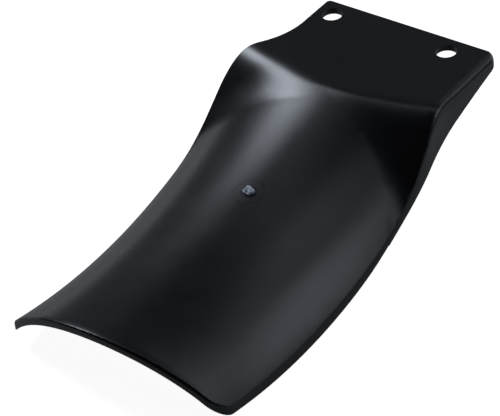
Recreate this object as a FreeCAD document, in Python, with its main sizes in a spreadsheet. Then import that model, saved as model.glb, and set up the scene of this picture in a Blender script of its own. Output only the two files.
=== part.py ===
import FreeCAD
import Part
import Sketcher
import math
import os

Vec = FreeCAD.Vector
doc = FreeCAD.newDocument("mud_flap")

# Driving dimensions in millimetres and degrees
SIZES = {
    "length": 194.3,
    "wall": 2.7,
    "hole_spacing": 54.0,
    "hole_dia": 8.5,
    "flap_half": 48.8,
    "flare_out": 3.2,
    "flare_from": 23.6,
    "flare_to": 61.2,
    "notch_margin": 7.6,
    "notch_from": 9.0,
    "notch_to": 48.5,
    "back_edge": 8.2,
    "end_bow": 6.4,
    "back_corner": 5.0,
    "notch_corner": 2.0,
    "right_corner": 8.0,
    "left_corner": 3.5,
    "fold_mid": 40.0,
    "fold_side": 33.8,
    "fold_angle": 40.0,
    "fold_radius": 6.0,
    "fold_fade": 30.7,
    "crease_radius": 19.8,
    "crease_fade": 13.7,
    "crown_drop": 18.3,
    "crown_low": 155.9,
    "edge_drop": 40.7,
    "edge_low": 136.8,
    "edge_radius": 195.0,
    "arch_angle": 51.5,
    "flange_run": 76.0,
    "flange_drop": 35.0,
    "flange_sag": 2.2,
    "plate_round": 2.2,
    "flap_round": 0.8,
    "end_round": 1.6,
    "gate_at": 95.4,
    "gate_dia": 4.2,
    "gate_proud": 0.5,
}
sheet = doc.addObject("Spreadsheet::Sheet", "Sizes")
for row, (name, value) in enumerate(SIZES.items(), start=1):
    sheet.set("A%d" % row, name)
    sheet.set("B%d" % row, str(value))
    sheet.setAlias("B%d" % row, name)
doc.recompute()


def size(name):
    """A driving dimension, read from the sheet."""
    return float(sheet.get(name))


wall = size("wall")
flap_half = size("flap_half")
plate_half = flap_half - size("flare_out")
hole_place = size("hole_spacing") / 2.0
notch_half = hole_place + size("notch_margin")
back_edge = size("back_edge")
end_edge = size("length") - back_edge - size("end_bow")
fold_mid = size("fold_mid")
fold_side = size("fold_side")
fold_radius = size("fold_radius")
fold_slope = math.tan(math.radians(size("fold_angle")))
crown_drop = size("crown_drop")
crown_low = size("crown_low")
edge_drop = size("edge_drop")
arch_sine = math.sin(math.radians(size("arch_angle")))
edge_low = size("edge_low")
edge_radius = size("edge_radius")
crease_radius = size("crease_radius")
crease_fade = size("crease_fade")
fold_fade = size("fold_fade")
hair = 0.01
spare = 2.0 * wall
deep = 3.0 * edge_drop
wide = flap_half + spare
joint = 0.4 * fold_side
column_gap = flap_half / 7.0
row_gap = fold_radius / 4.0
row_growth = 0.12
FIRST, LAST, CENTRE = range(1, 4)
LINE = Part.LineSegment
half_turn = math.degrees(math.pi)


# Sketches on a body's own base planes
def new_sketch(body, name, role):
    """A sketch on one of the body's base planes."""
    sketch = body.newObject("Sketcher::SketchObject", name)
    plane = [feature for feature in body.Origin.OriginFeatures if feature.Role == role][0]
    sketch.AttachmentSupport = [(plane, "")]
    sketch.MapMode = "FlatFace"
    return sketch


def drive(sketch, constraint, expression):
    """A dimension in a sketch that follows the sheet."""
    index = sketch.addConstraint(constraint)
    sketch.setExpression("Constraints[%d]" % index, expression)


def arc_between(centre_x, centre_y, radius, start, stop):
    """Arc of a circle between two angles in degrees."""
    circle = Part.Circle(Vec(centre_x, centre_y, 0), Vec(0, 0, 1), radius)
    return Part.ArcOfCircle(circle, math.radians(start), math.radians(stop))


# Outer face of the moulding as a height over its plan
def soft_max(first, second, reach):
    """The higher of two heights, rounded where they are less than reach apart."""
    near = max(reach - abs(first - second), 0.0) / reach
    return max(first, second) + near * near * reach / 4.0


def fold_bow(x):
    """How far the fold line lies behind its foremost point, which is in the middle."""
    return (fold_mid - fold_side) * (x / flap_half) ** 2


def outer_height(x, y):
    """The flat plate ends in a fold; below it stands the higher of the gusset wall and the arched flap.
    The wall falls straight from the fold line, which bows forward in the middle. The arch is part of a
    circle across the flap; its crown and its side edges are two shallow curves along the flap."""
    across = x / flap_half
    gusset = (y + fold_mid - fold_bow(x)) * fold_slope
    crown_run = crown_low - fold_mid
    crown = crown_drop * (((y + crown_low) / crown_run) ** 2 - 1.0)
    edge = (y + edge_low) ** 2 / (2.0 * edge_radius) - edge_drop
    fall = (1.0 - math.sqrt(1.0 - (arch_sine * across) ** 2)) / (1.0 - math.sqrt(1.0 - arch_sine ** 2))
    arch = crown + (edge - crown) * fall
    crease_reach = hair + 0.5 * crease_radius * fold_slope ** 2 * x ** 2 / (x ** 2 + crease_fade ** 2)
    turn = min(fold_slope, 2.0 * crown_drop / crown_run + fold_slope * (x / fold_fade) ** 2)
    fold_reach = 0.5 * fold_radius * turn ** 2
    return -soft_max(0.0, -soft_max(gusset, arch, crease_reach), fold_reach)


def face_lean(x, y):
    """Slopes of the outer face along X and Y."""
    slope_x = (outer_height(x + hair, y) - outer_height(x - hair, y)) / (2.0 * hair)
    slope_y = (outer_height(x, y + hair) - outer_height(x, y - hair)) / (2.0 * hair)
    return slope_x, slope_y


def face_height(x, y, depth):
    """Height of the face that lies depth below the outer face, measured square to it."""
    foot_x, foot_y = x, y
    for turn in range(6):
        slope_x, slope_y = face_lean(foot_x, foot_y)
        length = math.sqrt(1.0 + slope_x ** 2 + slope_y ** 2)
        foot_x, foot_y = x - depth * slope_x / length, y - depth * slope_y / length
    return outer_height(foot_x, foot_y) - depth / length


def pole_places(knots):
    """Places of a cubic's poles that make it run evenly over its knots."""
    full = knots[:1] * 3 + knots + knots[-1:] * 3
    return [sum(full[i + 1:i + 4]) / 3.0 for i in range(len(knots) + 2)]


def core_below(depth, half, front, back):
    """Block whose top is the face that lies depth below the outer face. The rows of the face follow the
    bow of the fold line and stand closest together there; on the plate they straighten."""
    spans = int(2.0 * half / column_gap)
    columns = [half * (2.0 * i / spans - 1.0) for i in range(spans + 1)]
    first = math.asinh(row_growth * (front + fold_mid) / row_gap)
    last = math.asinh(row_growth * (back + fold_mid) / row_gap)
    spans = int((last - first) / row_growth)
    steps = [first + (last - first) * i / spans for i in range(spans + 1)]
    rows = [row_gap * math.sinh(step) / row_growth - fold_mid for step in steps]
    poles = []
    for x in pole_places(columns):
        poles.append([])
        for row in pole_places(rows):
            follow = (row + joint) / (fold_radius - fold_mid + joint)
            y = row + fold_bow(x) * min(1.0, max(0.0, follow))
            poles[-1].append(Vec(x, y, face_height(x, y, depth)))
    top = Part.BSplineSurface()
    top.buildFromPolesMultsKnots(
        poles,
        [4] + [1] * (len(columns) - 2) + [4],
        [4] + [1] * (len(rows) - 2) + [4],
        columns, rows, False, False, 3, 3)
    return top.toShape().extrude(Vec(0, 0, -deep))


def add_core(name, depth, half, front, back):
    """Such a block as an object of the document."""
    feature = doc.addObject("Part::Feature", name)
    feature.Shape = core_below(depth, half, front, back)
    return feature


# Outline of the moulding in plan: notched on the left of the plate, flared below the fold, bowed at the end
outline = doc.addObject("PartDesign::Body", "Outline")
plan = new_sketch(outline, "Plan", "XY_Plane")
end_bow = size("end_bow")
back_corner, notch_corner = size("back_corner"), size("notch_corner")
right_corner, left_corner = size("right_corner"), size("left_corner")
flare_from, flare_to = -size("flare_from"), -size("flare_to")
notch_from, notch_to = -size("notch_from"), -size("notch_to")
flare_out, flare_run = size("flare_out"), flare_from - flare_to
flare_radius = (flare_out ** 2 + flare_run ** 2) / (4.0 * flare_out)
flare_turn = math.degrees(2.0 * math.atan2(flare_out, flare_run))
notch_out, notch_run = flap_half - notch_half, notch_from - notch_to
notch_radius = (notch_out ** 2 + notch_run ** 2) / (4.0 * notch_out)
notch_turn = math.degrees(2.0 * math.atan2(notch_out, notch_run))
bow_radius = (flap_half ** 2 + end_bow ** 2) / (2.0 * end_bow)
bow_centre = bow_radius - end_edge - end_bow


def corner_place(radius):
    """Centre of a corner between a side of the flap and its bowed end, and the angle that it turns through."""
    x = flap_half - radius
    y = bow_centre - math.sqrt((bow_radius - radius) ** 2 - x ** 2)
    return x, y, math.degrees(math.atan2(bow_centre - y, x))


right_x, right_y, right_turn = corner_place(right_corner)
left_x, left_y, left_turn = corner_place(left_corner)
plan.addGeometry([
    LINE(Vec(notch_corner - notch_half, back_edge, 0), Vec(plate_half - back_corner, back_edge, 0)),
    arc_between(plate_half - back_corner, back_edge - back_corner, back_corner, 0, half_turn / 2.0),
    LINE(Vec(plate_half, back_edge - back_corner, 0), Vec(plate_half, flare_from, 0)),
    arc_between(plate_half + flare_radius, flare_from, flare_radius, half_turn, half_turn + flare_turn),
    arc_between(flap_half - flare_radius, flare_to, flare_radius, 0, flare_turn),
    LINE(Vec(flap_half, flare_to, 0), Vec(flap_half, right_y, 0)),
    arc_between(right_x, right_y, right_corner, -right_turn, 0),
    arc_between(0, bow_centre, bow_radius, left_turn - half_turn, -right_turn),
    arc_between(-left_x, left_y, left_corner, half_turn, half_turn + left_turn),
    LINE(Vec(-flap_half, left_y, 0), Vec(-flap_half, notch_to, 0)),
    arc_between(notch_radius - flap_half, notch_to, notch_radius, half_turn - notch_turn, half_turn),
    arc_between(-notch_half - notch_radius, notch_from, notch_radius, -notch_turn, 0),
    LINE(Vec(-notch_half, notch_from, 0), Vec(-notch_half, back_edge - notch_corner, 0)),
    arc_between(notch_corner - notch_half, back_edge - notch_corner, notch_corner, half_turn / 2.0, half_turn),
], False)
BACK, BACK_CORNER, PLATE_SIDE, FLARE_IN, FLARE_OUT, RIGHT_SIDE, RIGHT_CORNER = range(7)
END, LEFT_CORNER, LEFT_SIDE, NOTCH_OUT, NOTCH_IN, NOTCH_SIDE, NOTCH_CORNER = range(7, 14)
for one, one_end, two, two_end in (
        (BACK, LAST, BACK_CORNER, LAST),
        (BACK_CORNER, FIRST, PLATE_SIDE, FIRST),
        (PLATE_SIDE, LAST, FLARE_IN, FIRST),
        (FLARE_IN, LAST, FLARE_OUT, LAST),
        (FLARE_OUT, FIRST, RIGHT_SIDE, FIRST),
        (RIGHT_SIDE, LAST, RIGHT_CORNER, LAST),
        (RIGHT_CORNER, FIRST, END, LAST),
        (END, FIRST, LEFT_CORNER, LAST),
        (LEFT_CORNER, FIRST, LEFT_SIDE, FIRST),
        (LEFT_SIDE, LAST, NOTCH_OUT, LAST),
        (NOTCH_OUT, FIRST, NOTCH_IN, FIRST),
        (NOTCH_IN, LAST, NOTCH_SIDE, FIRST),
        (NOTCH_SIDE, LAST, NOTCH_CORNER, LAST),
        (NOTCH_CORNER, FIRST, BACK, FIRST)):
    plan.addConstraint(Sketcher.Constraint("Tangent", one, one_end, two, two_end))
plan.addConstraint(Sketcher.Constraint("Horizontal", BACK))
for side in (PLATE_SIDE, RIGHT_SIDE, LEFT_SIDE, NOTCH_SIDE):
    plan.addConstraint(Sketcher.Constraint("Vertical", side))
plan.addConstraint(Sketcher.Constraint("Equal", FLARE_IN, FLARE_OUT))
plan.addConstraint(Sketcher.Constraint("Equal", NOTCH_OUT, NOTCH_IN))
plan.addConstraint(Sketcher.Constraint("PointOnObject", END, CENTRE, -2))
drive(plan, Sketcher.Constraint("Radius", BACK_CORNER, back_corner), "Sizes.back_corner")
drive(plan, Sketcher.Constraint("Radius", NOTCH_CORNER, notch_corner), "Sizes.notch_corner")
drive(plan, Sketcher.Constraint("Radius", RIGHT_CORNER, right_corner), "Sizes.right_corner")
drive(plan, Sketcher.Constraint("Radius", LEFT_CORNER, left_corner), "Sizes.left_corner")
drive(plan, Sketcher.Constraint("DistanceY", -1, 1, BACK, FIRST, back_edge), "Sizes.back_edge")
drive(plan, Sketcher.Constraint("DistanceX", -1, 1, PLATE_SIDE, LAST, plate_half), "Sizes.flap_half - Sizes.flare_out")
drive(plan, Sketcher.Constraint("DistanceX", -1, 1, RIGHT_SIDE, FIRST, flap_half), "Sizes.flap_half")
drive(plan, Sketcher.Constraint("DistanceX", LEFT_SIDE, LAST, -1, 1, flap_half), "Sizes.flap_half")
drive(plan, Sketcher.Constraint("DistanceX", NOTCH_SIDE, FIRST, -1, 1, notch_half), "Sizes.hole_spacing / 2 + Sizes.notch_margin")
drive(plan, Sketcher.Constraint("DistanceY", PLATE_SIDE, LAST, -1, 1, -flare_from), "Sizes.flare_from")
drive(plan, Sketcher.Constraint("DistanceY", RIGHT_SIDE, FIRST, -1, 1, -flare_to), "Sizes.flare_to")
drive(plan, Sketcher.Constraint("DistanceY", NOTCH_SIDE, FIRST, -1, 1, -notch_from), "Sizes.notch_from")
drive(plan, Sketcher.Constraint("DistanceY", LEFT_SIDE, LAST, -1, 1, -notch_to), "Sizes.notch_to")
bow_formula = "(Sizes.flap_half^2 + Sizes.end_bow^2) / (2 * Sizes.end_bow)"
bow_place = bow_formula + " + Sizes.back_edge - Sizes.length"
drive(plan, Sketcher.Constraint("Radius", END, bow_radius), bow_formula)
drive(plan, Sketcher.Constraint("DistanceY", -1, 1, END, CENTRE, bow_centre), bow_place)
prism = outline.newObject("PartDesign::Pad", "Prism")
prism.Profile = plan
prism.Midplane = True
prism.setExpression("Length", "6 * Sizes.edge_drop")

# Flat mounting plate with its two bolt holes; it reaches forward to where the fold begins
hole_dia = size("hole_dia")
plate = doc.addObject("PartDesign::Body", "Plate")
slab = new_sketch(plate, "Slab", "XY_Plane")
slab.addGeometry([
    LINE(Vec(-wide, -joint, 0), Vec(wide, -joint, 0)),
    LINE(Vec(wide, -joint, 0), Vec(wide, back_edge + spare, 0)),
    LINE(Vec(wide, back_edge + spare, 0), Vec(-wide, back_edge + spare, 0)),
    LINE(Vec(-wide, back_edge + spare, 0), Vec(-wide, -joint, 0)),
    Part.Circle(Vec(-hole_place, 0, 0), Vec(0, 0, 1), hole_dia / 2.0),
    Part.Circle(Vec(hole_place, 0, 0), Vec(0, 0, 1), hole_dia / 2.0),
], False)
SLAB_FRONT, SLAB_RIGHT, SLAB_BACK, SLAB_LEFT, LEFT_HOLE, RIGHT_HOLE = range(6)
for side in range(4):
    slab.addConstraint(Sketcher.Constraint("Coincident", side, LAST, (side + 1) % 4, FIRST))
slab.addConstraint(Sketcher.Constraint("Horizontal", SLAB_FRONT))
slab.addConstraint(Sketcher.Constraint("Horizontal", SLAB_BACK))
slab.addConstraint(Sketcher.Constraint("Vertical", SLAB_RIGHT))
slab.addConstraint(Sketcher.Constraint("Vertical", SLAB_LEFT))
for hole in (LEFT_HOLE, RIGHT_HOLE):
    slab.addConstraint(Sketcher.Constraint("PointOnObject", hole, CENTRE, -1))
    drive(slab, Sketcher.Constraint("Diameter", hole, hole_dia), "Sizes.hole_dia")
drive(slab, Sketcher.Constraint("DistanceX", LEFT_HOLE, CENTRE, -1, 1, hole_place), "Sizes.hole_spacing / 2")
drive(slab, Sketcher.Constraint("DistanceX", -1, 1, RIGHT_HOLE, CENTRE, hole_place), "Sizes.hole_spacing / 2")
drive(slab, Sketcher.Constraint("DistanceY", SLAB_FRONT, FIRST, -1, 1, joint), "0.4 * Sizes.fold_side")
drive(slab, Sketcher.Constraint("DistanceY", -1, 1, SLAB_BACK, FIRST, back_edge + spare), "Sizes.back_edge + 2 * Sizes.wall")
drive(slab, Sketcher.Constraint("DistanceX", -1, 1, SLAB_RIGHT, FIRST, wide), "Sizes.flap_half + 2 * Sizes.wall")
drive(slab, Sketcher.Constraint("DistanceX", SLAB_LEFT, FIRST, -1, 1, wide), "Sizes.flap_half + 2 * Sizes.wall")
slab_pad = plate.newObject("PartDesign::Pad", "SlabPad")
slab_pad.Profile = slab
slab_pad.Reversed = True
slab_pad.setExpression("Length", "Sizes.wall")

# Sheet of the moulding, one wall thick, in three lengths: the fold, the shoulders below it and the plain apron
front = -end_edge - end_bow - spare
outer_core = add_core("OuterCore", 0.0, wide, front, -joint)
inner_core = add_core("InnerCore", wall, wide + wall, front - wall, wall - joint)
skin = doc.addObject("Part::Cut", "Skin")
skin.Base = outer_core
skin.Tool = inner_core
shoulder_formula = "Sizes.fold_mid + 2 * Sizes.fold_radius"
apron_formula = "Sizes.gate_at - 3 * Sizes.gate_dia"
end_formula = "Sizes.length - Sizes.back_edge + 2 * Sizes.wall"


def sheet_length(name, start_formula, stop_formula):
    """The part of the sheet between two distances from the line of the holes."""
    zone = doc.addObject("Part::Box", name + "Zone")
    zone.setExpression("Length", "4 * Sizes.flap_half")
    zone.setExpression("Width", "%s - (%s)" % (stop_formula, start_formula))
    zone.setExpression("Height", "6 * Sizes.edge_drop")
    zone.setExpression("Placement.Base.x", "-2 * Sizes.flap_half")
    zone.setExpression("Placement.Base.y", "-(%s)" % stop_formula)
    zone.setExpression("Placement.Base.z", "-3 * Sizes.edge_drop")
    length = doc.addObject("Part::Common", name + "Sheet")
    length.Base = skin
    length.Tool = zone
    return length


fold_sheet = sheet_length("Fold", "0.4 * Sizes.fold_side", shoulder_formula)
shoulder_sheet = sheet_length("Shoulder", shoulder_formula, apron_formula)
apron_sheet = sheet_length("Apron", apron_formula, end_formula)

# Side flanges that hang from the edges of the plate and of the gusset walls
flange_run, flange_drop, flange_sag = size("flange_run"), size("flange_drop"), size("flange_sag")
flange_core = add_core("FlangeCore", 0.5 * wall, wide + wall, -flange_run - spare, back_edge + spare)


def flange_side(name, start, start_formula, left_hand):
    """The space above the flange's lower edge on one side; the edge is an arc that starts under the plate."""
    body = doc.addObject("PartDesign::Body", name)
    profile = new_sketch(body, name + "Profile", "YZ_Plane")
    long, tall = start + flange_run, flange_drop - wall
    chord = math.hypot(long, tall)
    middle = Vec(start - long / 2.0 - flange_sag * tall / chord, flange_sag * long / chord - wall - tall / 2.0, 0)
    edge = Part.Arc(Vec(-flange_run, -flange_drop, 0), middle, Vec(start, -wall, 0))
    profile.addGeometry([
        edge,
        LINE(Vec(start, -wall, 0), Vec(start, spare, 0)),
        LINE(Vec(start, spare, 0), Vec(-flange_run, spare, 0)),
        LINE(Vec(-flange_run, spare, 0), Vec(-flange_run, -flange_drop, 0)),
    ], False)
    lower, back, upper, fore = range(4)
    profile.addConstraint(Sketcher.Constraint("Coincident", back, LAST, upper, FIRST))
    profile.addConstraint(Sketcher.Constraint("Coincident", upper, LAST, fore, FIRST))
    profile.addConstraint(Sketcher.Constraint("Vertical", back))
    profile.addConstraint(Sketcher.Constraint("Horizontal", upper))
    profile.addConstraint(Sketcher.Constraint("Vertical", fore))
    drive(profile, Sketcher.Constraint("DistanceX", fore, LAST, -1, 1, flange_run), "Sizes.flange_run")
    drive(profile, Sketcher.Constraint("DistanceY", fore, LAST, -1, 1, flange_drop), "Sizes.flange_drop")
    drive(profile, Sketcher.Constraint("DistanceX", fore, LAST, back, FIRST, long), start_formula)
    drive(profile, Sketcher.Constraint("DistanceY", back, FIRST, -1, 1, wall), "Sizes.wall")
    drive(profile, Sketcher.Constraint("DistanceY", -1, 1, upper, FIRST, spare), "2 * Sizes.wall")
    pad = body.newObject("PartDesign::Pad", name + "Pad")
    pad.Profile = profile
    pad.Reversed = left_hand
    pad.setExpression("Length", "Sizes.flap_half + 2 * Sizes.wall")
    return body


right_side = flange_side("RightSide", back_edge, "Sizes.flange_run + Sizes.back_edge", False)
left_side = flange_side("LeftSide", notch_from, "Sizes.flange_run - Sizes.notch_from", True)
both_sides = doc.addObject("Part::MultiFuse", "BothSides")
both_sides.Shapes = [right_side, left_side]
flange_blank = doc.addObject("Part::Common", "FlangeBlank")
flange_blank.Base = flange_core
flange_blank.Tool = both_sides
inset = doc.addObject("Part::Offset2D", "Inset")
inset.Source = plan
inset.setExpression("Value", "-Sizes.wall")
inside = doc.addObject("Part::Extrusion", "Inside")
inside.Base = inset
inside.DirMode = "Custom"
inside.Dir = Vec(0, 0, 1)
inside.setExpression("LengthFwd", "3 * Sizes.edge_drop")
inside.setExpression("LengthRev", "3 * Sizes.edge_drop")
inside.Solid = True
open_back = doc.addObject("Part::Box", "OpenBack")
open_back.setExpression("Length", "2 * Sizes.flap_half - Sizes.flare_out + 3 * Sizes.wall")
open_back.setExpression("Width", "Sizes.notch_from + Sizes.back_edge + 4 * Sizes.wall")
open_back.setExpression("Height", "6 * Sizes.edge_drop")
open_back.Placement.Base = Vec(-wide - spare, notch_from, -deep)
no_flange = doc.addObject("Part::MultiFuse", "NoFlange")
no_flange.Shapes = [inside, open_back]
flange = doc.addObject("Part::Cut", "Flange")
flange.Base = flange_blank
flange.Tool = no_flange

# The moulding in one piece, trimmed to its outline
blank = doc.addObject("Part::MultiFuse", "Blank")
blank.Shapes = [plate, fold_sheet, shoulder_sheet, apron_sheet, flange]
blank.Refine = False
trimmed = doc.addObject("Part::Common", "Trimmed")
trimmed.Base = blank
trimmed.Tool = outline
trimmed.Refine = False
doc.recompute()

# Upper rim, rounded most on the right side of the plate and along the free end
plate_round, flap_round, end_round = size("plate_round"), size("flap_round"), size("end_round")


def rim_round(point):
    """Radius of the rim at a place along it: small on the sides, growing towards the plate and the free end."""
    if point.y < max(right_y, left_y) + hair:
        return end_round
    if point.x < plate_half - 0.5 * back_corner:
        return flap_round
    share = (point.y - flare_to) / (-fold_mid - flare_to)
    return flap_round + (plate_round - flap_round) * min(1.0, max(0.0, share))


def clockwise_ends(edge):
    """The two ends of a rim edge, in the order met going clockwise round the flap as seen from above."""
    one, other = edge.Vertexes[0].Point, edge.Vertexes[-1].Point
    turn = one.x * (other.y + 0.5 * end_edge) - other.x * (one.y + 0.5 * end_edge)
    return (one, other) if turn < 0 else (other, one)


rim_edges = []
for number, edge in enumerate(trimmed.Shape.Edges, start=1):
    middle = edge.valueAt((edge.FirstParameter + edge.LastParameter) / 2.0)
    over_outline = plan.Shape.distToShape(Part.Vertex(middle.x, middle.y, 0))[0] < 0.1 * wall
    if over_outline and abs(middle.z - outer_height(middle.x, middle.y)) < 0.2 * wall:
        stop, start = clockwise_ends(edge)
        rim_edges.append((number, rim_round(start), rim_round(stop)))
rim = doc.addObject("Part::Fillet", "Rim")
rim.Base = trimmed
rim.Edges = rim_edges

# Cut-off moulding gate on the crown
gate_y = -size("gate_at")
gate_slope = math.degrees(math.atan(face_lean(0.0, gate_y)[1]))
stub = doc.addObject("Part::Cylinder", "Stub")
stub.setExpression("Radius", "Sizes.gate_dia / 2")
stub.setExpression("Height", "Sizes.wall / 2 + Sizes.gate_proud")
upright = FreeCAD.Rotation(Vec(1, 0, 0), gate_slope)
stub.Placement = FreeCAD.Placement(
    Vec(0, gate_y, outer_height(0.0, gate_y)) - upright.multVec(Vec(0, 0, wall / 2.0)), upright)
flap = doc.addObject("Part::Fuse", "MudFlap")
flap.Base = rim
flap.Tool = stub
flap.Refine = False
flap.Label = "mud_flap"
doc.recompute()

# Every object must be sound before the piece is written
for thing in doc.Objects:
    if "Invalid" in thing.State or "Error" in thing.State:
        raise RuntimeError("failed: " + thing.Name)
if flap.Shape.isNull() or not flap.Shape.isValid() or len(flap.Shape.Solids) != 1:
    raise RuntimeError("unsound: " + flap.Label)
os.makedirs("parts", exist_ok=True)
flap.Shape.exportStep("parts/" + flap.Label + ".step")
print(flap.Label, "volume", round(flap.Shape.Volume, 1), "faces", len(flap.Shape.Faces))
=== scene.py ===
import math

import bpy
import numpy as np
from mathutils import Matrix, Vector


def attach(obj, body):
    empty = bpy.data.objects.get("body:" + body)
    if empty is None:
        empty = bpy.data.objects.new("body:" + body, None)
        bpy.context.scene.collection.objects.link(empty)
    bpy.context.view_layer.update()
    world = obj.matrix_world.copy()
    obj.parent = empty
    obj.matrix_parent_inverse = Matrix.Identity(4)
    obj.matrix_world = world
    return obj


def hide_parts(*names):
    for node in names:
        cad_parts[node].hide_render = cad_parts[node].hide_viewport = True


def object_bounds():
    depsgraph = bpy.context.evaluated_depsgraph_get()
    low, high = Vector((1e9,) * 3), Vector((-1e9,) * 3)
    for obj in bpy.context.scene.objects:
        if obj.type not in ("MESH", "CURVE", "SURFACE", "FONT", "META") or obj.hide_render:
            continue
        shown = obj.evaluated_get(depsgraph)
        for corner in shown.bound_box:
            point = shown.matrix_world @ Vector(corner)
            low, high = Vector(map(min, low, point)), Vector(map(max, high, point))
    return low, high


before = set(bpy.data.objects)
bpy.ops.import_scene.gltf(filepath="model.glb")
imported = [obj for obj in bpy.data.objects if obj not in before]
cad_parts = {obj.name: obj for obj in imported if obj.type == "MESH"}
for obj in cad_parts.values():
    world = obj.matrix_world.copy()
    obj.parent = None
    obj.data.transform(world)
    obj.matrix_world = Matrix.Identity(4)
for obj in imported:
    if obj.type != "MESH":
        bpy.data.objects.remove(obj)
cad_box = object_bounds()
scene = bpy.context.scene
scene.view_settings.view_transform = "Standard"

# Mud flap: one injection moulding in black polypropylene with a fine satin skin, bolted on through two holes.
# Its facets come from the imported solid; here they are divided and laid on the smooth outer face of the mould,
# with the softer fold, creases, right-hand plate edge and free end that the gloss shows.
flap_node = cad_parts["mud_flap"]
MILLIMETRES = 1000.0
# Outline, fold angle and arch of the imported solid, in millimetres from the line of the bolt holes
FLAP_HALF, PLATE_HALF = 48.8, 45.6
FLARE_FROM, FLARE_TO = 23.6, 61.2
END_SIDE, END_BOW = 179.7, 6.4
FOLD_SLOPE = math.tan(math.radians(40.0))
CROWN_DROP, CROWN_LOW, CROWN_RUN = 18.3, 155.9, 115.9
EDGE_DROP, EDGE_LOW, EDGE_RADIUS = 40.7, 136.8, 195.0
ARCH_SINE = math.sin(math.radians(51.5))
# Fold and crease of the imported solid
PACKED_MID, PACKED_SIDE, PACKED_APEX = 40.0, 33.8, 0.0
PACKED_REACH, PACKED_FADE = 3.0, 30.7
PACKED_CREASE_LEAST, PACKED_CREASE_RADIUS, PACKED_CREASE_FADE = 0.01, 19.8, 13.7
# Fold, creases, right-hand edge and free end as moulded
FOLD_MID, FOLD_SIDE, FOLD_APEX = 41.80, 33.33, 3.31
FOLD_REACH_LEFT, FOLD_REACH_MID, FOLD_REACH_RIGHT, FOLD_REACH_RUN = 7.81, 3.00, 6.50, 30.0
CREASE_LEAST = 1.0
CREASE_RADIUS_LEFT, CREASE_FADE_LEFT = 12.30, 11.75
CREASE_RADIUS_RIGHT, CREASE_FADE_RIGHT = 17.38, 32.78
SOFT_EDGE, SOFT_EDGE_RADIUS = 4.0, 8.0
SOFT_END, SOFT_END_RADIUS = 1.9, 5.0
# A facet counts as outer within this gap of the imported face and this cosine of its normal, or on the gate's foot
OUTER_GAP, OUTER_COSINE = 0.6, 0.96
GATE_X, GATE_Y, GATE_REACH, GATE_GAP = 0.0, -95.4, 2.4, 0.8
LONGEST_SIDE, MOST_HALVINGS = 3.0, 8
FOLLOW_DEPTH, FOLLOW_FADE = 3.0, 10.0
SHARP_ANGLE = math.radians(35.0)


def soft_step(share):
    """A smooth rise from 0 to 1 while share runs from 0 to 1."""
    share = np.clip(share, 0.0, 1.0)
    return share * share * (3.0 - 2.0 * share)


def soft_max(first, second, reach, power):
    """The higher of two heights, rounded by a power curve where they are less than reach apart."""
    near = np.maximum(reach - np.abs(first - second), 0.0) / reach
    return np.maximum(first, second) + near ** power * reach / (2.0 * power)


def flap_form(x, y, fold_mid, fold_side, apex, crease_least, crease_radius, crease_fade):
    """Height of the flap below the plate, in millimetres: the higher of a straight gusset wall, whose top line bows
    forward in the middle, and an arch. The arch is part of a circle across the flap, and its crown and its side
    edges are two parabolas along the flap. The crease between wall and arch is rounder towards the sides."""
    across = x / FLAP_HALF
    aside = x - apex
    bow = aside / np.where(aside > 0.0, FLAP_HALF - apex, FLAP_HALF + apex)
    gusset = (y + fold_mid - (fold_mid - fold_side) * bow ** 2) * FOLD_SLOPE
    crown = CROWN_DROP * (((y + CROWN_LOW) / CROWN_RUN) ** 2 - 1.0)
    edge = (y + EDGE_LOW) ** 2 / (2.0 * EDGE_RADIUS) - EDGE_DROP
    fall = (1.0 - np.sqrt(1.0 - (ARCH_SINE * across) ** 2)) / (1.0 - math.sqrt(1.0 - ARCH_SINE ** 2))
    arch = crown + (edge - crown) * fall
    crease_reach = 0.5 * crease_radius * FOLD_SLOPE ** 2 * aside ** 2 / (aside ** 2 + crease_fade ** 2)
    return soft_max(gusset, arch, crease_least + crease_reach, 2)


def packed_face(x, y):
    """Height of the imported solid's outer face: the lower of the plate and the flap, rounded along the fold."""
    turn = np.minimum(FOLD_SLOPE, 2.0 * CROWN_DROP / CROWN_RUN + FOLD_SLOPE * (x / PACKED_FADE) ** 2)
    flap = flap_form(x, y, PACKED_MID, PACKED_SIDE, PACKED_APEX,
                     PACKED_CREASE_LEAST, PACKED_CREASE_RADIUS, PACKED_CREASE_FADE)
    return -soft_max(0.0 * x, -flap, PACKED_REACH * turn ** 2, 2)


def moulded_face(x, y):
    """Height of the outer face as moulded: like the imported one, with a fold that is rounder on the left than on
    the right, an apex right of the middle, creases of two radii, and a right-hand plate edge and a free end that
    roll over in parabolas."""
    right = x > FOLD_APEX
    aside = soft_step(np.abs(x - FOLD_APEX) / FOLD_REACH_RUN)
    fold_reach = FOLD_REACH_MID + (np.where(right, FOLD_REACH_RIGHT, FOLD_REACH_LEFT) - FOLD_REACH_MID) * aside
    radius = np.where(right, CREASE_RADIUS_RIGHT, CREASE_RADIUS_LEFT)
    fade = np.where(right, CREASE_FADE_RIGHT, CREASE_FADE_LEFT)
    flap = flap_form(x, y, FOLD_MID, FOLD_SIDE, FOLD_APEX, CREASE_LEAST, radius, fade)
    height = -soft_max(0.0 * x, -flap, fold_reach, 3)
    flare = soft_step((-y - FLARE_FROM) / (FLARE_TO - FLARE_FROM))
    past_edge = np.maximum(x - (PLATE_HALF + (FLAP_HALF - PLATE_HALF) * flare - SOFT_EDGE), 0.0)
    past_end = np.maximum(SOFT_END - y - END_SIDE - END_BOW * (1.0 - (x / FLAP_HALF) ** 2), 0.0)
    edge_roll = past_edge ** 2 / (2.0 * SOFT_EDGE_RADIUS) * (1.0 - flare)
    return height - edge_roll - past_end ** 2 / (2.0 * SOFT_END_RADIUS)


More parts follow.
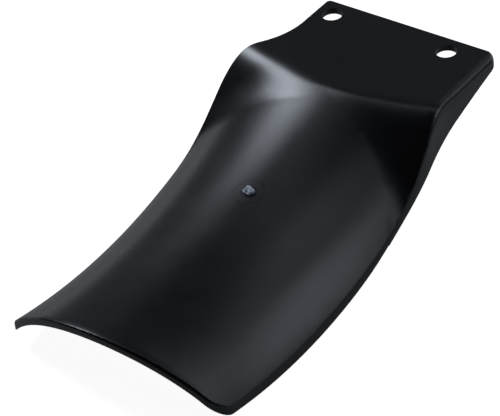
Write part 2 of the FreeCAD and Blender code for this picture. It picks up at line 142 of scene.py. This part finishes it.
def face_normal(face, x, y):
    """Unit normal of a face given by its height, from its slopes over a tenth of a millimetre."""
    step = 0.05
    lean_x = (face(x + step, y) - face(x - step, y)) / (2.0 * step)
    lean_y = (face(x, y + step) - face(x, y - step)) / (2.0 * step)
    normal = np.stack([-lean_x, -lean_y, np.ones_like(lean_x)], axis=-1)
    return normal / np.linalg.norm(normal, axis=-1, keepdims=True)


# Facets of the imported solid, joined at their corners, in millimetres
loose = np.empty(len(flap_node.data.vertices) * 3)
flap_node.data.vertices.foreach_get("co", loose)
facet = np.empty(len(flap_node.data.loops), dtype=np.int64)
flap_node.data.loops.foreach_get("vertex_index", facet)
loose = loose.reshape(-1, 3) * MILLIMETRES
first_use, joined = np.unique(np.round(loose, 4), axis=0, return_index=True, return_inverse=True)[1:]
points = loose[first_use]
facet = joined.reshape(-1)[facet].reshape(-1, 3)

# Facets that lie on the outer face, the foot of the cut gate among them
middle = points[facet].mean(axis=1)
square = np.cross(points[facet[:, 1]] - points[facet[:, 0]], points[facet[:, 2]] - points[facet[:, 0]])
square /= np.linalg.norm(square, axis=1, keepdims=True) + 1e-12
near_face = np.abs(middle[:, 2] - packed_face(middle[:, 0], middle[:, 1])) < OUTER_GAP
along_face = (square * face_normal(packed_face, middle[:, 0], middle[:, 1])).sum(axis=1) > OUTER_COSINE
at_gate = np.hypot(points[:, 0] - GATE_X, points[:, 1] - GATE_Y) < GATE_REACH
at_gate &= np.abs(points[:, 2] - packed_face(points[:, 0], points[:, 1])) < GATE_GAP
outer = (near_face & along_face) | at_gate[facet].all(axis=1)

# Sides longer than the longest one wanted are halved, with the facets on both sides of them, until none is left
for halving in range(MOST_HALVINGS):
    pairs = np.sort(np.stack([facet, np.roll(facet, -1, axis=1)], axis=-1), axis=2).reshape(-1, 2)
    sides, side_of = np.unique(pairs, axis=0, return_inverse=True)
    side_of = side_of.reshape(-1, 3)
    long_side = np.linalg.norm(points[sides[:, 0]] - points[sides[:, 1]], axis=1) > LONGEST_SIDE
    if not long_side.any():
        break
    half_way = len(points) + np.cumsum(long_side) - 1
    points = np.concatenate([points, points[sides[long_side]].mean(axis=1)])
    cut = long_side[side_of]
    count = cut.sum(axis=1)
    first = np.where(count == 2, (np.argmin(cut, axis=1) + 1) % 3, np.argmax(cut, axis=1))
    order = (first[:, None] + np.arange(3)) % 3
    a, b, c = np.take_along_axis(facet, order, axis=1).T
    ab, bc, ca = half_way[np.take_along_axis(side_of, order, axis=1)].T
    whole, one, two, three = [count == number for number in range(4)]
    parts = [
        (whole, (a, b, c)), (one, (a, ab, c)), (one, (ab, b, c)),
        (two, (ab, b, bc)), (two, (a, ab, bc)), (two, (a, bc, c)),
        (three, (a, ab, ca)), (three, (ab, b, bc)), (three, (ca, bc, c)), (three, (ab, bc, ca))]
    outer = np.concatenate([outer[which] for which, corners in parts])
    facet = np.concatenate([np.stack(corners, axis=1)[which] for which, corners in parts])

# Points wholly on the outer face are laid on it; the others follow its shift, which fades out down the side walls
on_face = np.ones(len(points), dtype=bool)
on_face[facet[~outer].reshape(-1)] = False
packed_height = packed_face(points[:, 0], points[:, 1])
moulded_height = moulded_face(points[:, 0], points[:, 1])
fading = np.clip((packed_height - points[:, 2] - FOLLOW_DEPTH) / FOLLOW_FADE, 0.0, 1.0)
shifted = points[:, 2] + (moulded_height - packed_height) * (1.0 - fading)
points[:, 2] = np.where(on_face, moulded_height, shifted)

moulding_mesh = bpy.data.meshes.new("moulding")
moulding_mesh.from_pydata((points / MILLIMETRES).tolist(), [], facet.tolist())
moulding_mesh.polygons.foreach_set("use_smooth", np.ones(len(facet), dtype=bool))
moulding_mesh.set_sharp_from_angle(angle=SHARP_ANGLE)
corner_normals = np.empty(len(facet) * 9)
moulding_mesh.corner_normals.foreach_get("vector", corner_normals)
corner_normals = corner_normals.reshape(-1, 3, 3)
spots = points[facet[outer]]
corner_normals[outer] = face_normal(moulded_face, spots[..., 0], spots[..., 1])
moulding_mesh.normals_split_custom_set(corner_normals.reshape(-1, 3).tolist())
moulding = bpy.data.objects.new("moulding", moulding_mesh)
scene.collection.objects.link(moulding)

# Satin black skin: near black, a little uneven in gloss, with a fine grain. Round the cut gate the mould left a
# faint ring and a dull foot, and the cutter left a nick; these three dim the gloss. Places are in metres.
SKIN_DARK, SKIN_LIGHT = (0.0028, 0.0030, 0.0034, 1.0), (0.0038, 0.0040, 0.0046, 1.0)
SKIN_ROUGH_LOW, SKIN_ROUGH_HIGH = 0.271, 0.301
PLASTIC_IOR, PLASTIC_SPECULAR = 1.49, 0.5
RING_CENTRE, RING_RADIUS, RING_HALF_LINE = (0.0009, -0.0954), 0.006, 0.05
RING_DIM_LOW, RING_DIM_HIGH = 0.02, 0.26
NICK_CENTRE, NICK_TURN, NICK_DIM = (0.0023, -0.1024), -0.545, 0.3
NICK_HALF_LONG, NICK_HALF_WIDE = 0.0015, 0.00028
FOOT_CENTRE, FOOT_TURN, FOOT_DIM = (0.0012, -0.0955), -0.32, 0.2
FOOT_HALF_LONG, FOOT_HALF_WIDE = 0.0031, 0.0028
OVAL_LINE = 1.0
GRAIN_STRENGTH, GRAIN_DEPTH = 0.02, 0.0002


def cloud(tree, scale, detail, low, high):
    """Cloudy pattern over the piece's own coordinates, carried into the range low to high."""
    place = tree.nodes.new("ShaderNodeTexCoord")
    noise = tree.nodes.new("ShaderNodeTexNoise")
    noise.inputs["Scale"].default_value = scale
    noise.inputs["Detail"].default_value = detail
    noise.inputs["Roughness"].default_value = 0.55
    spread = tree.nodes.new("ShaderNodeMapRange")
    spread.inputs["From Min"].default_value = 0.3
    spread.inputs["From Max"].default_value = 0.7
    spread.inputs["To Min"].default_value = low
    spread.inputs["To Max"].default_value = high
    tree.links.new(place.outputs["Object"], noise.inputs["Vector"])
    tree.links.new(noise.outputs["Fac"], spread.inputs["Value"])
    return spread.outputs["Result"]


def oval(tree, centre, turn, half_length, half_width):
    """Distance from a spot on the plan as a share of an oval's reach: 0 in its middle and 1 on its line.
    The oval is metres high, so the height of a place hardly counts."""
    half_height = 10.0
    place = tree.nodes.new("ShaderNodeTexCoord")
    laid = tree.nodes.new("ShaderNodeMapping")
    laid.vector_type = "TEXTURE"
    laid.inputs["Location"].default_value = (centre[0], centre[1], 0.0)
    laid.inputs["Rotation"].default_value = (0.0, 0.0, turn)
    laid.inputs["Scale"].default_value = (half_length, half_width, half_height)
    length = tree.nodes.new("ShaderNodeVectorMath")
    length.operation = "LENGTH"
    tree.links.new(place.outputs["Object"], laid.inputs["Vector"])
    tree.links.new(laid.outputs["Vector"], length.inputs[0])
    return length.outputs["Value"]


def figure(tree, operation, first, second):
    """Two values put through one sum; the second may be a plain number."""
    node = tree.nodes.new("ShaderNodeMath")
    node.operation = operation
    tree.links.new(first, node.inputs[0])
    if isinstance(second, float):
        node.inputs[1].default_value = second
    else:
        tree.links.new(second, node.inputs[1])
    return node.outputs[0]


satin = bpy.data.materials.new("satin_black_plastic")
satin.use_nodes = True
skin = satin.node_tree
skin.nodes.clear()
skin_out = skin.nodes.new("ShaderNodeOutputMaterial")
plastic = skin.nodes.new("ShaderNodeBsdfPrincipled")
skin.links.new(plastic.outputs["BSDF"], skin_out.inputs["Surface"])
plastic.inputs["IOR"].default_value = PLASTIC_IOR
tone = skin.nodes.new("ShaderNodeMix")
tone.data_type = "RGBA"
tone.inputs["A"].default_value = SKIN_DARK
tone.inputs["B"].default_value = SKIN_LIGHT
skin.links.new(cloud(skin, scale=60.0, detail=4.0, low=0.0, high=1.0), tone.inputs["Factor"])
skin.links.new(tone.outputs["Result"], plastic.inputs["Base Color"])
skin_rough = cloud(skin, scale=90.0, detail=3.0, low=SKIN_ROUGH_LOW, high=SKIN_ROUGH_HIGH)
skin.links.new(skin_rough, plastic.inputs["Roughness"])
ring_oval = oval(skin, RING_CENTRE, 0.0, RING_RADIUS, RING_RADIUS)
ring_line = figure(skin, "COMPARE", ring_oval, OVAL_LINE)
ring_line.node.inputs[2].default_value = RING_HALF_LINE
ring_dim = cloud(skin, scale=220.0, detail=2.0, low=RING_DIM_LOW, high=RING_DIM_HIGH)
ring_mark = figure(skin, "MULTIPLY", ring_line, ring_dim)
nick_oval = oval(skin, NICK_CENTRE, NICK_TURN, NICK_HALF_LONG, NICK_HALF_WIDE)
nick_mark = figure(skin, "MULTIPLY", figure(skin, "LESS_THAN", nick_oval, OVAL_LINE), NICK_DIM)
foot_oval = oval(skin, FOOT_CENTRE, FOOT_TURN, FOOT_HALF_LONG, FOOT_HALF_WIDE)
foot_mark = figure(skin, "MULTIPLY", figure(skin, "LESS_THAN", foot_oval, OVAL_LINE), FOOT_DIM)
marks = figure(skin, "ADD", figure(skin, "ADD", ring_mark, nick_mark), foot_mark)
gloss = skin.nodes.new("ShaderNodeMath")
gloss.operation = "SUBTRACT"
gloss.inputs[0].default_value = PLASTIC_SPECULAR
skin.links.new(marks, gloss.inputs[1])
skin.links.new(gloss.outputs[0], plastic.inputs["Specular IOR Level"])
grain = skin.nodes.new("ShaderNodeBump")
grain.inputs["Strength"].default_value = GRAIN_STRENGTH
grain.inputs["Distance"].default_value = GRAIN_DEPTH
skin.links.new(cloud(skin, scale=500.0, detail=1.0, low=0.0, high=1.0), grain.inputs["Height"])
skin.links.new(grain.outputs["Normal"], plastic.inputs["Normal"])
moulding_mesh.materials.append(satin)
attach(moulding, "root")
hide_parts("mud_flap")

# Cut-off gate: the stump of the sprue through which the mould was filled, snipped off with cutters.
# It is a low skewed block of the same plastic with torn, light-coloured faces, standing on the crown inside the ring;
# a highlight on its lip and shade in its cut are painted into their colour.
STUMP_X, STUMP_Y, STUMP_TURN = 1.0, -95.55, math.radians(-18.4)
STUMP_LONG, STUMP_WIDE, STUMP_RISE, STUMP_FOOT = 2.3, 2.05, 1.0, 0.5
STUMP_SQUARENESS, STUMP_TILT = 6, 0.06
STUMP_SIDE_FROM, STUMP_SIDE_RUN = 0.86, 0.14
STUMP_TURNS, STUMP_TOP_RINGS, STUMP_SIDE_RINGS = 96, 24, 11
CUT_PLACE, CUT_SLANT, CUT_HALF, CUT_DEPTH = 0.85, 0.1, 0.2, 0.4
LIP_PLACE, LIP_HALF, LIP_RISE = 1.25, 0.3, 0.15
TORN_DARK, TORN_PALE = (0.012, 0.014, 0.018, 1.0), (0.66, 0.74, 0.84, 1.0)
TORN_ROUGH_LOW, TORN_ROUGH_HIGH = 0.22, 0.42
TEAR_STRENGTH, TEAR_DEPTH = 0.4, 0.0003
PALE_TOP, PALE_UNDER = 0.5, 0.1


def stump_surface(angle, share):
    """A block in polar form: share runs from its middle to its foot and angle round it. Its outline is a square oval,
    a little wavy; its top is tilted and rippled, with one long cut and a raised lip, and its side falls in the last
    seventh. The fourth array is the tear's whitening with painted light in it: a painted highlight on the lip and
    painted shade in the cut; it is also lighter on the ripple crests and darker down the side."""
    turn, out = np.meshgrid(angle, share)
    along_part = (np.abs(np.cos(turn)) / STUMP_LONG) ** STUMP_SQUARENESS
    beside_part = (np.abs(np.sin(turn)) / STUMP_WIDE) ** STUMP_SQUARENESS
    outline = (along_part + beside_part) ** (-1.0 / STUMP_SQUARENESS)
    outline = outline * (1.0 + 0.04 * np.sin(3.0 * turn + 0.7) + 0.025 * np.sin(7.0 * turn))
    along, beside = out * outline * np.cos(turn), out * outline * np.sin(turn)
    cut = np.exp(-((beside + CUT_PLACE + CUT_SLANT * along) / CUT_HALF) ** 2)
    cut = cut * np.clip(2.0 - np.abs(along) * 1.4, 0.0, 1.0)
    lip = np.exp(-((beside - LIP_PLACE) / LIP_HALF) ** 2)
    ripple = 0.05 * np.sin(3.1 * along + 1.7 * beside) + 0.04 * np.sin(6.3 * along - 2.2 * beside + 0.6)
    side = soft_step((out - STUMP_SIDE_FROM) / STUMP_SIDE_RUN)
    top = STUMP_RISE + ripple - CUT_DEPTH * cut + LIP_RISE * lip + STUMP_TILT * along
    # Painted light: the lip is painted lighter as a highlight and the cut darker as its shade.
    pale_with_painted_light = np.clip(0.55 + 0.45 * lip - 0.6 * cut + 3.0 * ripple, 0.05, 1.0) * (1.0 - 0.5 * side)
    return along, beside, top * (1.0 - side) - STUMP_FOOT * side, pale_with_painted_light


stump_angle = np.linspace(0.0, 2.0 * math.pi, STUMP_TURNS, endpoint=False)
stump_share = np.concatenate([
    np.linspace(0.0, STUMP_SIDE_FROM, STUMP_TOP_RINGS)[1:], np.linspace(STUMP_SIDE_FROM, 1.0, STUMP_SIDE_RINGS)[1:]])
stump_along, stump_beside, stump_up, stump_pale_with_painted_light = stump_surface(stump_angle, stump_share)
stump_x, stump_y = np.array(STUMP_X), np.array(STUMP_Y)
stump_normal = face_normal(moulded_face, stump_x, stump_y)
stump_long = np.array([math.cos(STUMP_TURN), math.sin(STUMP_TURN), 0.0])
stump_long = stump_long - stump_normal * (stump_long @ stump_normal)
stump_long /= np.linalg.norm(stump_long)
stump_wide = np.cross(stump_normal, stump_long)
stump_base = np.array([STUMP_X, STUMP_Y, float(moulded_face(stump_x, stump_y))])
stump_flat = np.stack([stump_along.ravel(), stump_beside.ravel(), stump_up.ravel()], axis=1)
stump_flat = np.concatenate([stump_flat, [[0.0, 0.0, STUMP_RISE], [0.0, 0.0, -STUMP_FOOT]]])
stump_points = stump_base + stump_flat @ np.stack([stump_long, stump_wide, stump_normal])
here = np.arange(stump_along.size).reshape(stump_along.shape)
beyond = np.roll(here, -1, axis=1)
stump_band = np.stack([here[:-1], here[1:], beyond[1:], beyond[:-1]], axis=-1).reshape(-1, 4)
stump_top = np.stack([np.full(STUMP_TURNS, here.size), here[0], beyond[0]], axis=1)
stump_under = np.stack([np.full(STUMP_TURNS, here.size + 1), beyond[-1], here[-1]], axis=1)
stump_mesh = bpy.data.meshes.new("gate_stump")
stump_mesh.from_pydata((stump_points / MILLIMETRES).tolist(), [],
                       stump_band.tolist() + stump_top.tolist() + stump_under.tolist())
stump_mesh.polygons.foreach_set("use_smooth", np.ones(len(stump_mesh.polygons), dtype=bool))
pale_with_painted_light_share = stump_mesh.attributes.new("pale_with_painted_light", "FLOAT", "POINT")
pale_with_painted_light_share.data.foreach_set("value", np.concatenate([stump_pale_with_painted_light.ravel(), [PALE_TOP, PALE_UNDER]]))
stump = bpy.data.objects.new("gate_stump", stump_mesh)
scene.collection.objects.link(stump)

torn_plastic = bpy.data.materials.new("torn_plastic")
torn_plastic.use_nodes = True
tear = torn_plastic.node_tree
tear.nodes.clear()
tear_out = tear.nodes.new("ShaderNodeOutputMaterial")
torn = tear.nodes.new("ShaderNodeBsdfPrincipled")
tear.links.new(torn.outputs["BSDF"], tear_out.inputs["Surface"])
torn.inputs["IOR"].default_value = PLASTIC_IOR
stress_and_painted_light = tear.nodes.new("ShaderNodeMix")
stress_and_painted_light.data_type = "RGBA"
stress_and_painted_light.inputs["A"].default_value = TORN_DARK
stress_and_painted_light.inputs["B"].default_value = TORN_PALE
pale_with_painted_light = tear.nodes.new("ShaderNodeAttribute")
pale_with_painted_light.attribute_name = "pale_with_painted_light"
patches = cloud(tear, scale=700.0, detail=3.0, low=0.5, high=1.0)
# The attribute holds the tear's whitening together with a painted highlight on the lip and painted shade in the cut.
tear.links.new(figure(tear, "MULTIPLY", pale_with_painted_light.outputs["Fac"], patches), stress_and_painted_light.inputs["Factor"])
tear.links.new(stress_and_painted_light.outputs["Result"], torn.inputs["Base Color"])
torn_rough = cloud(tear, scale=1500.0, detail=3.0, low=TORN_ROUGH_LOW, high=TORN_ROUGH_HIGH)
tear.links.new(torn_rough, torn.inputs["Roughness"])
rough_tear = tear.nodes.new("ShaderNodeBump")
rough_tear.inputs["Strength"].default_value = TEAR_STRENGTH
rough_tear.inputs["Distance"].default_value = TEAR_DEPTH
tear.links.new(cloud(tear, scale=1400.0, detail=4.0, low=0.0, high=1.0), rough_tear.inputs["Height"])
tear.links.new(rough_tear.outputs["Normal"], torn.inputs["Normal"])
stump_mesh.materials.append(torn_plastic)
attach(stump, "root")

# Floor: a plain pale sheet just below the lowest edge of the flap.
# It shines white for the camera; in reflections its glow is white away from the flap and dimmed round its foot, a
# painted shadow.
FLOOR_HALF, FLOOR_GAP = 12.0, 0.0005
FLOOR_GREY, FLOOR_WHITE, FLOOR_GLOW = (0.4, 0.4, 0.4, 1.0), (1.0, 1.0, 1.0, 1.0), 0.95
SHADE_X, SHADE_Y = 0.0, -0.09
SHADE_FROM, SHADE_TO, SHADE_DIM, SHADE_BRIGHT = 0.2, 0.8, 0.07, 0.9
floor_z = cad_box[0][2] - FLOOR_GAP
floor_mesh = bpy.data.meshes.new("floor")
floor_mesh.from_pydata(
    [(-FLOOR_HALF, -FLOOR_HALF, floor_z), (FLOOR_HALF, -FLOOR_HALF, floor_z),
     (FLOOR_HALF, FLOOR_HALF, floor_z), (-FLOOR_HALF, FLOOR_HALF, floor_z)], [], [(0, 1, 2, 3)])
floor = bpy.data.objects.new("floor", floor_mesh)
scene.collection.objects.link(floor)
paper = bpy.data.materials.new("white_paper")
paper.use_nodes = True
sheet = paper.node_tree
sheet.nodes.clear()
matt = sheet.nodes.new("ShaderNodeBsdfDiffuse")
matt.inputs["Color"].default_value = FLOOR_GREY
glow = sheet.nodes.new("ShaderNodeEmission")
glow.inputs["Color"].default_value = FLOOR_WHITE
path = sheet.nodes.new("ShaderNodeLightPath")
sheet_place = sheet.nodes.new("ShaderNodeTexCoord")
from_flap = sheet.nodes.new("ShaderNodeVectorMath")
from_flap.operation = "DISTANCE"
from_flap.inputs[1].default_value = (SHADE_X, SHADE_Y, floor_z)
# Painted shadow: the glow seen in reflections is dim near the flap's foot and bright farther out.
shade = sheet.nodes.new("ShaderNodeMapRange")
shade.inputs["From Min"].default_value = SHADE_FROM
shade.inputs["From Max"].default_value = SHADE_TO
shade.inputs["To Min"].default_value = SHADE_DIM
shade.inputs["To Max"].default_value = SHADE_BRIGHT
both = sheet.nodes.new("ShaderNodeAddShader")
sheet_out = sheet.nodes.new("ShaderNodeOutputMaterial")
sheet.links.new(sheet_place.outputs["Object"], from_flap.inputs[0])
sheet.links.new(from_flap.outputs["Value"], shade.inputs["Value"])
reflected = figure(sheet, "MAXIMUM", path.outputs["Is Glossy Ray"], path.outputs["Is Transmission Ray"])
mirrored = figure(sheet, "MULTIPLY", reflected, shade.outputs["Result"])
seen = figure(sheet, "MAXIMUM", path.outputs["Is Camera Ray"], mirrored)
sheet.links.new(figure(sheet, "MULTIPLY", seen, FLOOR_GLOW), glow.inputs["Strength"])
sheet.links.new(matt.outputs["BSDF"], both.inputs[0])
sheet.links.new(glow.outputs["Emission"], both.inputs[1])
sheet.links.new(both.outputs["Shader"], sheet_out.inputs["Surface"])
floor_mesh.materials.append(paper)

# Studio light: soft boxes of a cool white stand around the flap, each turned towards its middle, in a dark room.
# The camera doesn't see them; the satin skin does, as its broad soft highlights.
ROOM_MIDDLE = Vector((0.0, -0.09, -0.02))
ROOM_WHITE, ROOM_STRENGTH = (1.0, 1.0, 1.0, 1.0), 0.002
LAMP_DISTANCE, LAMP_COLOUR = 1.6, (0.83, 0.89, 1.0)


def soft_box(name, azimuth, elevation, width, height, radiance):
    """Flat lamp on a sphere round the flap, with its power from its radiance and area. Azimuth and elevation are in
    degrees, and azimuth 0 is +Y and 90 is +X; width and height are in metres."""
    lamp = bpy.data.lights.new(name, "AREA")
    lamp.shape = "RECTANGLE"
    lamp.size = width
    lamp.size_y = height
    lamp.energy = radiance * math.pi * width * height
    lamp.color = LAMP_COLOUR
    box = bpy.data.objects.new(name, lamp)
    az, el = math.radians(azimuth), math.radians(elevation)
    away = Vector((math.sin(az) * math.cos(el), math.cos(az) * math.cos(el), math.sin(el)))
    facing = away.to_track_quat("Z", "Y").to_matrix().to_4x4()
    box.matrix_world = Matrix.Translation(ROOM_MIDDLE + away * LAMP_DISTANCE) @ facing
    box.visible_camera = False
    scene.collection.objects.link(box)


soft_box("left_box", -80.3, 44.6, 0.53, 0.49, 12.82)
soft_box("right_box", 57.2, 34.8, 0.69, 0.74, 1.94)
soft_box("back_box", 7.5, 20.9, 1.47, 1.44, 1.01)
soft_box("top_box", 43.3, 61.5, 0.65, 0.82, 0.50)
soft_box("side_box", 93.1, 50.7, 0.73, 0.53, 1.20)
soft_box("rear_box", -51.3, 15.0, 1.56, 1.80, 0.12)
soft_box("high_box", -4.0, 69.6, 1.40, 0.12, 1.42)
world = bpy.data.worlds.new("room")
world.use_nodes = True
world.node_tree.nodes["Background"].inputs["Color"].default_value = ROOM_WHITE
world.node_tree.nodes["Background"].inputs["Strength"].default_value = ROOM_STRENGTH
scene.world = world

# Camera: long lens from the front right, above the flap, a little rolled.
# It stands where the midpoint between the bolt holes falls on its own pixel of the picture.
AZIMUTH, ELEVATION, ROLL = math.radians(41.23), math.radians(37.517), math.radians(-7.50)
DISTANCE, SENSOR_WIDTH, FOCAL_PIXELS = 1.1, 36.0, 2819.9
IMAGE_WIDTH, IMAGE_HEIGHT = 500, 416
ORIGIN_PIXEL = (387.96, 31.96)
NEAREST, FARTHEST = 0.01, 100.0
camera_data = bpy.data.cameras.new("camera")
camera = bpy.data.objects.new("camera", camera_data)
scene.collection.objects.link(camera)
camera_data.sensor_fit = "HORIZONTAL"
camera_data.sensor_width = SENSOR_WIDTH
camera_data.lens = FOCAL_PIXELS * SENSOR_WIDTH / IMAGE_WIDTH
camera_data.clip_start = NEAREST
camera_data.clip_end = FARTHEST
back = Vector((
    math.sin(AZIMUTH) * math.cos(ELEVATION), -math.cos(AZIMUTH) * math.cos(ELEVATION), math.sin(ELEVATION)))
level_right = Vector((math.cos(AZIMUTH), math.sin(AZIMUTH), 0.0))
level_up = back.cross(level_right)
right = math.cos(ROLL) * level_right + math.sin(ROLL) * level_up
up = math.cos(ROLL) * level_up - math.sin(ROLL) * level_right
aside = (ORIGIN_PIXEL[0] - (IMAGE_WIDTH - 1) / 2.0) * DISTANCE / FOCAL_PIXELS
above = ((IMAGE_HEIGHT - 1) / 2.0 - ORIGIN_PIXEL[1]) * DISTANCE / FOCAL_PIXELS
eye = back * DISTANCE - right * aside - up * above
camera.matrix_world = Matrix((
    (right.x, up.x, back.x, eye.x),
    (right.y, up.y, back.y, eye.y),
    (right.z, up.z, back.z, eye.z),
    (0.0, 0.0, 0.0, 1.0)))
scene.camera = camera
